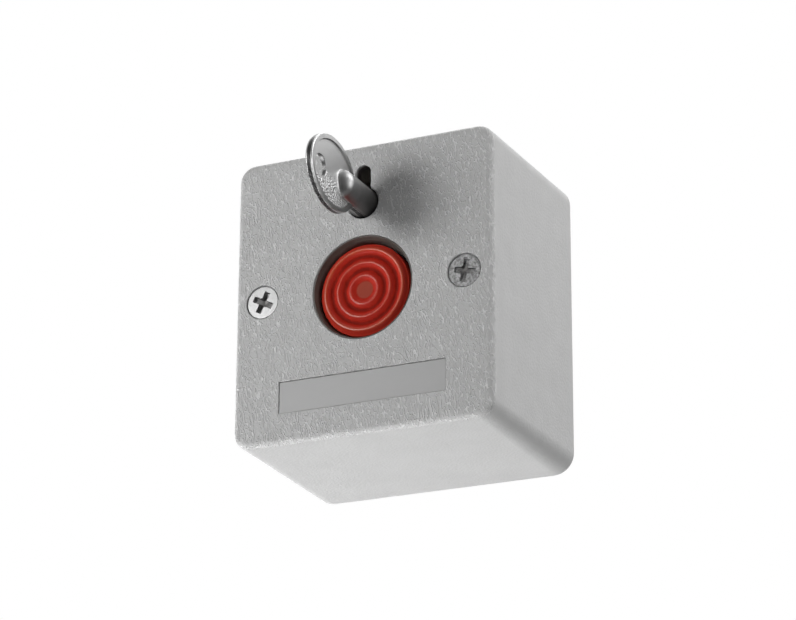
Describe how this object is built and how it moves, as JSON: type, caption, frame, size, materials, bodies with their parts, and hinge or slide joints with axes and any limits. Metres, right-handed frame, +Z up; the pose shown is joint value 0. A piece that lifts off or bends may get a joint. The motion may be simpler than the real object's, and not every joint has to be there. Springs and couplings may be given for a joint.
{
  "type": "wireless panic button",
  "caption": "Wall box for a wireless alarm: a recessed red push button that latches when pressed, a key above it that releases it, face screws and a blank label recess.",
  "frame": {"origin": "middle of the back face, in the plane of the wall", "axes": "+X right as seen from the front, +Y into the wall, +Z up; the front face is at -Y"},
  "size_m": [0.06, 0.0662, 0.0646],
  "materials": {
    "housing_plastic": "light grey moulded plastic with a leather grain",
    "label_plastic": "smooth grey plastic, blank",
    "bright_steel": "bright zinc plated",
    "dull_steel": "dulled zinc plated",
    "zinc_steel": "zinc plated",
    "brass": "plain",
    "dark_plastic": "charcoal moulded plastic",
    "red_plastic": "satin red moulded plastic",
    "acetal": "natural white, smooth",
    "acetal_black": "black, smooth",
    "spring_steel": "drawn wire",
    "plated_key": "nickel plated die casting",
    "board_laminate": "green solder mask",
    "switch_plastic": "black moulded plastic",
    "plunger_plastic": "red-brown moulded plastic",
    "cell_can": "bare metal can",
    "nickel_strip": "nickel plated strip",
    "shield_can": "tinned sheet",
    "chip_plastic": "black epoxy",
    "copper_wire": "enamelled copper wire"
  },
  "bodies": {
    "case": {"front_housing": "housing_plastic", "label_strip": "label_plastic", "cover_screw_left": "bright_steel", "cover_screw_right": "dull_steel", "thread_inserts": "brass", "base_plate": "housing_plastic", "switch_frame": "dark_plastic", "frame_screws": "zinc_steel", "latch_bracket": "dark_plastic", "bracket_screws": "zinc_steel", "return_spring": "spring_steel", "latch_spring": "spring_steel", "circuit_board": "board_laminate", "board_screws": "zinc_steel", "press_switch": "switch_plastic", "tamper_switch": "switch_plastic", "battery": "cell_can", "battery_holder": "dark_plastic", "battery_contacts": "nickel_strip", "radio_module": "shield_can", "controller_chip": "chip_plastic", "crystal": "shield_can", "capacitor": "cell_can", "board_passives": "chip_plastic", "aerial": "copper_wire"},
    "push_button": {"button_cap": "red_plastic", "button_stem": "acetal", "stem_clip": "spring_steel"},
    "press_plunger": {"switch_plunger": "plunger_plastic"},
    "rotor": {"lock_rotor": "acetal_black"},
    "key": {"reset_key": "plated_key"},
    "latch": {"latch_bar": "acetal"},
    "tamper_button": {"tamper_pin": "acetal"}
  },
  "joints": [
    {"name": "button_press", "type": "slide", "parent": "case", "child": "push_button", "axis": [0, 1, 0], "range_m": [0, 0.0035], "stiffness_N_per_m": 700, "springref_m": -0.003, "deforming": ["return_spring"]},
    {"name": "plunger_press", "type": "slide", "parent": "case", "child": "press_plunger", "axis": [0, 1, 0], "range_m": [0, 0.0035]},
    {"name": "key_turn", "type": "hinge", "parent": "case", "child": "rotor", "pos_m": [0, -0.03, 0.0185], "axis": [0, 1, 0], "range_deg": [0, 90]},
    {"name": "key_pull", "type": "slide", "parent": "rotor", "child": "key", "axis": [0, -1, 0], "range_m": [0, 0.016]},
    {"name": "latch_lift", "type": "slide", "parent": "case", "child": "latch", "axis": [0, 0, 1], "range_m": [0, 0.0022], "stiffness_N_per_m": 40, "springref_m": -0.003, "deforming": ["latch_spring"]},
    {"name": "tamper_press", "type": "slide", "parent": "case", "child": "tamper_button", "axis": [0, 1, 0], "range_m": [0, 0.001], "stiffness_N_per_m": 100, "springref_m": 0.001}
  ],
  "couplings": [
    {"joint": "plunger_press", "follows": "button_press", "ratio": 1},
    {"joint": "key_turn", "follows": "latch_lift", "rad_per_m": 713.9}
  ]
}
